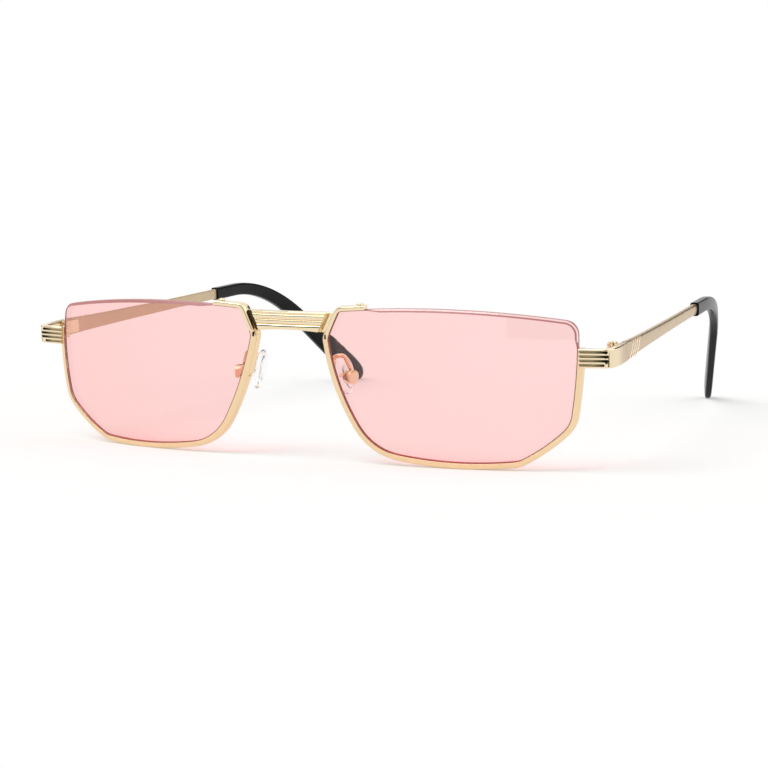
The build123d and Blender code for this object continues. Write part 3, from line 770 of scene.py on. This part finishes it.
def bridge_end(height, behind, margin):
    """How far across the bridge reaches at a height and a depth, short of the lens by a margin."""
    slant = [spot + out * margin for spot, out in OUTLINE if spot.x < NOSE_SIDE and out.x < NOSE_FACING]
    slant.sort(key=lambda spot: spot.y)
    lens_across, turn = LENS_AT[0], radians(LENS_TURN)
    up = height - LENS_AT[2]
    for low, high in zip(slant, slant[1:]):
        if low.y <= up <= high.y:
            across = low.x + (high.x - low.x) * (up - low.y) / max(high.y - low.y, 1e-6)
            return lens_across + across / cos(turn) - behind * sin(turn) / cos(turn)
    return lens_across + slant[-1].x / cos(turn)


def bridge_sweep(section, margin_at, stations=36):
    """A section of depth and height swept from end to end, bowed in plan and arched below."""
    arch = (HALF_SPAN**2 + ARCH_RISE**2) / (2 * ARCH_RISE)
    ends = [bridge_end(up, behind, margin_at(behind)) for behind, up in section]
    rings = []
    for i in range(stations + 1):
        share = 1 - 2 * i / stations
        ring = []
        for (behind, up), end in zip(section, ends):
            across = end * share
            arched = BRIDGE_BOTTOM + ARCH_RISE - arch + sqrt(arch**2 - across**2)
            bow = BRIDGE_BOW - sqrt(BRIDGE_BOW**2 - across**2)
            ring.append(Vector((across, behind + bow, max(up, arched))))
        rings.append(ring)
    return skin(rings)


def bridge_base():
    """The plain bar behind the ribs."""
    section = rounded_box(BRIDGE_FRONT, BRIDGE_BACK, BRIDGE_BOTTOM, BRIDGE_TOP, (0.12,) * 4, 3)
    return bridge_sweep(section, lambda behind: BAR_MARGIN)


def bridge_ribs():
    """The ribs, each a shallow arc, with ends that slope down to the bar."""
    floor, foot, low, section = BRIDGE_FRONT - RIB_RISE, BRIDGE_FRONT + RIB_SEAT, BRIDGE_BOTTOM, []
    for share in RIB_SHARES:
        height = (BRIDGE_TOP - BRIDGE_BOTTOM) * share
        for k in range(RIB_POINTS):
            turn = pi * (k + 0.5) / RIB_POINTS
            section.append((floor - height * RIB_BULGE_SHARE * sin(turn), low + height * (1 - cos(turn)) / 2))
        low += height
    section += [(foot, BRIDGE_TOP - RIB_INSET), (foot, BRIDGE_BOTTOM + RIB_INSET)]
    full = RIB_RISE + RIB_SEAT
    return bridge_sweep(
        section, lambda behind: RIB_FOOT_MARGIN + RIB_END_RUN / full * max(0, min(full, foot - behind))
    )


# Temple tips

# Where the tip begins and bends along the blade, the bend's radius, its run past the corner, and its turns
BLADE_MIDDLE = 2.15
TIP_START, TIP_BEND_AT, TIP_BEND_RADIUS, TIP_RUN = 70.6, 96.8, 44.0, 50.8
TIP_FALL, TIP_INWARD = 39.5, 15.0
TIP_HEIGHT, TIP_THICKNESS, TIP_SQUARENESS, TIP_POINTS = 5.6, 2.3, 4.5, 44
# Along the tip: its height and thickness as shares of the full ones
TIP_SHARES = (
    (0.0, 0.6, 0.97), (0.1, 0.585, 1.0), (0.25, 0.6, 1.0), (0.4, 0.66, 0.98),
    (0.55, 0.76, 0.94), (0.7, 0.88, 0.9), (0.83, 0.98, 0.88), (0.91, 1.0, 0.87),
    (0.96, 0.9, 0.82), (0.985, 0.68, 0.7), (1.0, 0.32, 0.42),
)
# Rings are even up to here, then close up round the end
TIP_EVEN, TIP_END_SHARES = 0.93, [0.94, 0.95, 0.96, 0.97, 0.978, 0.985, 0.991, 0.996, 1.0]


def tip_line():
    """Points and headings along the tip's middle line, by its length."""
    fall, inward = radians(TIP_FALL), radians(TIP_INWARD)
    corner = Vector((BLADE_MIDDLE, TIP_BEND_AT, 0))
    ahead = Vector((0, 1, 0))
    run = Vector((-sin(inward) * cos(fall), cos(inward) * cos(fall), -sin(fall)))
    turn = ahead.angle(run)
    tangent = TIP_BEND_RADIUS * sin(turn / 2) / cos(turn / 2)
    enter = corner - ahead * tangent
    inside = (run - ahead * ahead.dot(run)).normalized()
    centre = enter + inside * TIP_BEND_RADIUS
    first, arc, last = enter.y - TIP_START, TIP_BEND_RADIUS * turn, TIP_RUN - tangent
    total = first + arc + last

    def at(share):
        length = share * total
        if length < first:
            return Vector((BLADE_MIDDLE, TIP_START + length, 0)), ahead
        if length < first + arc:
            angle = (length - first) / TIP_BEND_RADIUS
            spot = centre - inside * TIP_BEND_RADIUS * cos(angle) + ahead * TIP_BEND_RADIUS * sin(angle)
            return spot, ahead * cos(angle) + inside * sin(angle)
        leave = corner + run * tangent
        return leave + run * (length - first - arc), run

    return at


def eased(table, share):
    """The values of a table of shares at one share, on a smooth curve through its rows."""
    for i in range(len(table) - 1):
        if share <= table[i + 1][0]:
            break
    before, a, b, after = table[max(i - 1, 0)], table[i], table[i + 1], table[min(i + 2, len(table) - 1)]
    t = (share - a[0]) / (b[0] - a[0])
    values = []
    for k in range(1, len(a)):
        slope_a = (b[k] - before[k]) / (b[0] - before[0]) * (b[0] - a[0])
        slope_b = (after[k] - a[k]) / (after[0] - a[0]) * (b[0] - a[0])
        values.append(
            (2 * t**3 - 3 * t**2 + 1) * a[k] + (t**3 - 2 * t**2 + t) * slope_a
            + (3 * t**2 - 2 * t**3) * b[k] + (t**3 - t**2) * slope_b
        )
    return values


def tip_ring(width, height):
    """Points round an oval that is nearly a rectangle."""
    ring = []
    for i in range(TIP_POINTS):
        turn = 2 * pi * i / TIP_POINTS
        x, y = cos(turn), sin(turn)
        ring.append((
            width / 2 * abs(x) ** (2 / TIP_SQUARENESS) * (1 if x > 0 else -1),
            height / 2 * abs(y) ** (2 / TIP_SQUARENESS) * (1 if y > 0 else -1),
        ))
    return ring


def tip_shape():
    """The sleeve from its mouth on the blade to its rounded end."""
    at = tip_line()
    rings = []
    for share in [i / 60 * TIP_EVEN for i in range(61)] + TIP_END_SHARES:
        spot, ahead = at(share)
        high, thick = eased(TIP_SHARES, share)
        sideways = Vector((0, 0, 1)).cross(ahead).normalized()
        above = ahead.cross(sideways)
        ring = tip_ring(TIP_THICKNESS * thick, TIP_HEIGHT * high)
        rings.append([spot + sideways * x + above * y for x, y in ring])
    return skin(rings)


# Temples

# Along the blade: its height as a share of the full one
BLADE = ((0.0, 1.0), (0.14, 0.84), (0.4, 0.71), (0.65, 0.635), (1.0, 0.605))
BLADE_START, BLADE_LENGTH, BLADE_HEIGHT = 1.64, 72.5, 4.3
BLADE_INNER, BLADE_OUTER, BLADE_INNER_EDGE, BLADE_OUTER_EDGE, BLADE_DOME = 1.45, 2.85, 0.25, 0.42, 0.3


def blade_shape():
    """The strip with a faintly domed outer face and rounded edges."""
    radii = (BLADE_INNER_EDGE, BLADE_OUTER_EDGE, BLADE_OUTER_EDGE, BLADE_INNER_EDGE)
    rings = []
    for i in range(61):
        share = i / 60
        high = eased(BLADE, share)[0] * BLADE_HEIGHT
        along = BLADE_START + (BLADE_LENGTH - BLADE_START) * share
        corners = rounded_box(BLADE_INNER, BLADE_OUTER, -high / 2, high / 2, radii)
        half = len(corners) // 2
        outer_face = [(BLADE_OUTER, (high / 2 - BLADE_OUTER_EDGE) * (k / 4 - 1)) for k in range(1, 8)]
        ring = []
        for x, z in corners[:half] + outer_face + corners[half:]:
            dome = BLADE_DOME * (2 * z / high) ** 2 if x > BLADE_MIDDLE else 0
            ring.append(Vector((x - dome, along, z)))
        rings.append(ring)
    return skin(rings)


# Strokes across the blade, and round wires, both grown by node trees


def tree_for(name, numbers, vectors=()):
    """A geometry tree with named number inputs, a material input and a mesh output."""
    tree = bpy.data.node_groups.new(name, "GeometryNodeTree")
    tree.interface.new_socket("Geometry", in_out="INPUT", socket_type="NodeSocketGeometry")
    sockets = [(title, "Float") for title in numbers] + [(title, "Vector") for title in vectors]
    for title, kind in sockets + [("Material", "Material")]:
        tree.interface.new_socket(title, in_out="INPUT", socket_type=f"NodeSocket{kind}")
    tree.interface.new_socket("Geometry", in_out="OUTPUT", socket_type="NodeSocketGeometry")
    return tree, tree.nodes.new("NodeGroupInput"), tree.nodes.new("NodeGroupOutput")


def add_round_sweep(tree, radius, curve, points):
    """Sweeps a circle of a given radius along a curve, with closed ends."""
    ring = tree.nodes.new("GeometryNodeCurvePrimitiveCircle")
    ring.inputs["Resolution"].default_value = points
    body = tree.nodes.new("GeometryNodeCurveToMesh")
    body.inputs["Fill Caps"].default_value = True
    tree.links.new(radius, ring.inputs["Radius"])
    tree.links.new(curve, body.inputs["Curve"])
    tree.links.new(ring.outputs["Curve"], body.inputs["Profile Curve"])
    return body.outputs["Mesh"]


def end_tree(tree, given, out, geometry):
    """Realizes what a tree has made, smooths it and gives it the material."""
    real = tree.nodes.new("GeometryNodeRealizeInstances")
    smooth = tree.nodes.new("GeometryNodeSetShadeSmooth")
    paint = tree.nodes.new("GeometryNodeSetMaterial")
    tree.links.new(geometry, real.inputs["Geometry"])
    tree.links.new(real.outputs["Geometry"], smooth.inputs["Geometry"])
    tree.links.new(smooth.outputs["Geometry"], paint.inputs["Geometry"])
    tree.links.new(given.outputs["Material"], paint.inputs["Material"])
    tree.links.new(paint.outputs["Geometry"], out.inputs["Geometry"])


def round_wire_tree():
    """Turns a line of edges into a round wire with closed ends."""
    tree, given, out = tree_for("round_wire", ("Radius",))
    line = tree.nodes.new("GeometryNodeMeshToCurve")
    tree.links.new(given.outputs["Geometry"], line.inputs["Mesh"])
    end_tree(tree, given, out, add_round_sweep(tree, given.outputs["Radius"], line.outputs["Curve"], 18))
    return tree


def stroke_row_tree():
    """A row of curved strokes, each a thin round bead, at an even pitch."""
    tree, given, out = tree_for("stroke_row", ("Count", "Radius"), ("Foot", "Belly", "Head", "Pitch"))
    bend = tree.nodes.new("GeometryNodeCurveQuadraticBezier")
    bend.inputs["Resolution"].default_value = 14
    for title, socket in (("Foot", "Start"), ("Belly", "Middle"), ("Head", "End")):
        tree.links.new(given.outputs[title], bend.inputs[socket])
    bead = add_round_sweep(tree, given.outputs["Radius"], bend.outputs["Curve"], 10)
    row = tree.nodes.new("GeometryNodeMeshLine")
    copies = tree.nodes.new("GeometryNodeInstanceOnPoints")
    tree.links.new(given.outputs["Count"], row.inputs["Count"])
    tree.links.new(given.outputs["Pitch"], row.inputs["Offset"])
    tree.links.new(row.outputs["Mesh"], copies.inputs["Points"])
    tree.links.new(bead, copies.inputs["Instance"])
    end_tree(tree, given, out, copies.outputs["Instances"])
    return tree


def grown_piece(name, tree, values, spots, place, sign):
    """Runs a tree on a line of points, and stands its plain mesh in its frame on one side."""
    seed = bpy.data.meshes.new(name + "_line")
    seed.from_pydata(spots, [(i, i + 1) for i in range(len(spots) - 1)], [])
    made = add_object(name, seed)
    grow = made.modifiers.new("grow", "NODES")
    grow.node_group = tree
    sockets = {item.name: item.identifier for item in tree.interface.items_tree if item.in_out == "INPUT"}
    for title, value in values.items():
        grow[sockets[title]] = value
    done = keep_result(made)
    done.transform(Matrix.Scale(MM, 4) @ place)
    if sign < 0:
        done.transform(Matrix.Scale(-1, 4, (1, 0, 0)))
    join_and_turn(done)
    return made


ROUND_WIRE, STROKE_ROW = round_wire_tree(), stroke_row_tree()
STROKES = {
    "Count": 4,
    "Radius": 0.1,
    "Foot": (2.74, 2.8, -1.9),
    "Belly": (2.88, 5.7, -0.6),
    "Head": (2.74, 6.5, 1.85),
    "Pitch": (0, 2.0, 0),
    "Material": bright_cut,
}


# Nose pads and their arms

# The arm's corners from the pad box, as shares of its rise: at the rim, behind it and over the top. Then its
# end, its bends' radius and its own
ARM_RISE, ARM_CORNER_SHARES = 4.6, ((-0.70, -0.52, -0.18), (-0.87, 0.05, 0.93), (-0.36, 0.16, 0.97))
ARM_END, ARM_BEND, ARM_RADIUS = (-0.25, 1.18, 0.775), 1.0, 0.5
EYE_PROFILE = ((0.4, -0.47), (0.68, -0.47), (0.75, -0.4), (0.75, 0.4), (0.68, 0.47), (0.4, 0.47))
# Places along the eye's stem and its half width there
STEM = ((0.75, 0.34), (1.4, 0.34), (2.2, 0.34), (3.0, 0.34), (3.2, 0.2))
PAD_AT, PAD_SPLAY, PAD_THICKNESS, PAD_WIDTH, PAD_HEIGHT = (3.9, -1.9, 0), 12, 2.2, 6.0, 9.0
PAD_SOFTNESS, PAD_STEPS, PAD_POINTS = 0.45, 18, 40


def rounded_line(corners, radius, steps=8):
    """A line through corners with each one rounded."""
    spots = [corners[0]]
    for i in range(1, len(corners) - 1):
        before = (corners[i - 1] - corners[i]).normalized()
        after = (corners[i + 1] - corners[i]).normalized()
        half = before.angle(after) / 2
        reach = radius / (sin(half) / cos(half))
        start, end = corners[i] + before * reach, corners[i] + after * reach
        centre = corners[i] + (before + after).normalized() * radius / sin(half)
        for k in range(steps + 1):
            mixed = (start - centre).lerp(end - centre, k / steps).normalized() * radius
            spots.append(centre + mixed)
    spots.append(corners[-1])
    return spots


def pad_arm_line():
    """The wire's middle line from the back of the rim up, over and down onto the box."""
    corners = [Vector(share) * ARM_RISE for share in ARM_CORNER_SHARES] + [Vector(ARM_END)]
    return [Vector(PAD_BOX_AT) + spot for spot in rounded_line(corners, ARM_BEND)]


def insert_shape():
    """The small eye on the pin with its stem into the pad."""
    eye_verts, eye_faces = turned(EYE_PROFILE, placed(LEVEL, (0.3, 0, 0), (90, "X")))
    stem_verts, stem_faces = skin([
        [Vector((along, y, z)) for y, z in rounded_box(-half, half, -0.4, 0.4, (0.12,) * 4, 3)]
        for along, half in STEM
    ])
    first = len(eye_verts)
    return eye_verts + stem_verts, eye_faces + [tuple(first + i for i in face) for face in stem_faces]


def pad_shape():
    """A clear oval pad with soft faces, splayed about its middle."""
    middle = placed(LEVEL, PAD_AT, (PAD_SPLAY, "Y"))
    rings = []
    for i in range(1, PAD_STEPS):
        turn = pi * i / PAD_STEPS - pi / 2
        across = PAD_THICKNESS / 2 * sin(turn)
        reach = abs(cos(turn)) ** PAD_SOFTNESS
        ring = []
        for k in range(PAD_POINTS):
            round_turn = 2 * pi * k / PAD_POINTS
            wide, high = reach * PAD_WIDTH / 2 * cos(round_turn), reach * PAD_HEIGHT / 2 * sin(round_turn)
            ring.append(middle @ Vector((across, wide, high)))
        rings.append(ring)
    return skin(rings)


# Copies of the solids with their edges broken

FLAT_ANGLE, BROKEN_ANGLE, COPY_SMOOTH_ANGLE = 1.0, 35, 30
# The endpiece's grooves: how many, how far apart and at what depth their axes lie. A face gets the painted
# shade within this reach of an axis, short of the end and deeper than the shallowest
GROOVE_COUNT, GROOVE_PITCH, GROOVE_AXIS = 4, 0.92, -0.72
GROOVE_REACH, GROOVE_END, GROOVE_SHALLOWEST = 0.305, 6.6, -0.6


def polished(node, width):
    """A copy of a node's solid with its edges broken to a width."""
    mesh = frame["nodes"][node].data.copy()
    mesh.name = node + "_polished"
    fresh = bmesh.new()
    fresh.from_mesh(mesh)
    bmesh.ops.remove_doubles(fresh, verts=fresh.verts, dist=1e-6)
    bmesh.ops.dissolve_limit(fresh, angle_limit=radians(FLAT_ANGLE), verts=fresh.verts, edges=fresh.edges)
    fresh.to_mesh(mesh)
    fresh.free()
    made = add_object(node + "_polished", mesh)
    edge = made.modifiers.new("edge", "BEVEL")
    edge.width = width * MM
    edge.segments = 2
    edge.limit_method = "ANGLE"
    edge.angle_limit = radians(BROKEN_ANGLE)
    edge.use_clamp_overlap = True
    edge.miter_outer = "MITER_ARC"
    done = keep_result(made)
    done.shade_smooth()
    done.set_sharp_from_angle(angle=radians(COPY_SMOOTH_ANGLE))
    return made


def paint_groove_shade(made, sign):
    """Paints shade on the floors of the endpiece's grooves with the half dark painted shade material."""
    back = (Matrix.Scale(MM, 4) @ ENDPIECE_START).inverted()
    for face in made.data.polygons:
        spot = back @ mirrored(face.center, sign)
        for i in range(GROOVE_COUNT):
            off = Vector((spot.y - GROOVE_AXIS, spot.z - (i - (GROOVE_COUNT - 1) / 2) * GROOVE_PITCH))
            if spot.x < GROOVE_END and off.length < GROOVE_REACH and spot.y > GROOVE_SHALLOWEST:
                face.material_index = 1


# The pieces of both sides: shape, frame, materials and the angle from which an edge stays sharp
for kind, shape, place, materials, angle in (
    ("lens", lens_shape, EYE, (rose, rose_edge_painted_shade), 18),
    ("strap_screw", strap_screw_shape, EYE, (screw,), 40),
    ("rim", rim_shape, EYE, (gold_painted_rose_light, painted_groove_shade), 40),
    ("top_strap", strap_shape, EYE, (gold,), 40),
    ("temple_tip", tip_shape, HINGE, (black,), 50),
    ("temple", blade_shape, HINGE, (drawn,), 45),
    ("pad_insert", insert_shape, PAD_BOX, (gold,), 40),
    ("nose_pad", pad_shape, PAD_BOX, (silicone,), 60),
):
    verts, faces = shape()
    for side, sign in SIDES:
        node = f"{kind}_{side}"
        made = piece_from(node + "_shape", verts, faces, place, sign, angle)
        if kind == "rim":
            slot_middle = cut_slot(made, place, sign, angle)
        finish_piece(made, node, *materials)
        if kind == "rim":
            # Painted shade on the walls of the slot
            paint_slot_shade(made, slot_middle, place, sign)
        if kind == "lens":
            # Painted shade on the lens's edge
            paint_lens_edge_shade(made, sign)

# The copies: materials and how wide their edges are broken
for kind, materials, width in (
    ("endpiece", (corner_gold, half_painted_shade), 0.1),
    ("hinge_screw", (screw,), 0.05),
    ("hinge_front_leaf", (gold,), 0.08),
    ("hinge_temple_leaf", (gold,), 0.08),
    ("pad_box", (gold,), 0.42),
    ("pad_screw", (screw,), 0.05),
):
    for side, sign in SIDES:
        node = f"{kind}_{side}"
        made = polished(node, width)
        finish_piece(made, node, *materials)
        if kind == "endpiece":
            # Painted shade on the floors of the endpiece's grooves
            paint_groove_shade(made, sign)

for side, sign in SIDES:
    values = {"Radius": ARM_RADIUS, "Material": gold}
    arm = grown_piece(f"pad_arm_{side}_wire", ROUND_WIRE, values, pad_arm_line(), STAND, sign)
    finish_piece(arm, f"pad_arm_{side}", gold)
    strokes = grown_piece(f"temple_{side}_strokes", STROKE_ROW, STROKES, [(0, 0, 0), (0, 0, 1)], HINGE, sign)
    dress(strokes, f"temple_{side}", bright_cut)

for name, shape in (("bridge_bar", bridge_base), ("bridge_ribs", bridge_ribs)):
    verts, faces = shape()
    made = piece_from(name, verts, faces, STAND, 1, 28)
    finish_piece(made, "bridge", gold, painted_groove_shade)
    if name == "bridge_bar":
        # Painted shade on the recess beside the ribs, at the right end only
        for face in made.data.polygons:
            face.material_index = 1 if face.normal.y < RECESS_FACING and face.center.x < 0 else 0
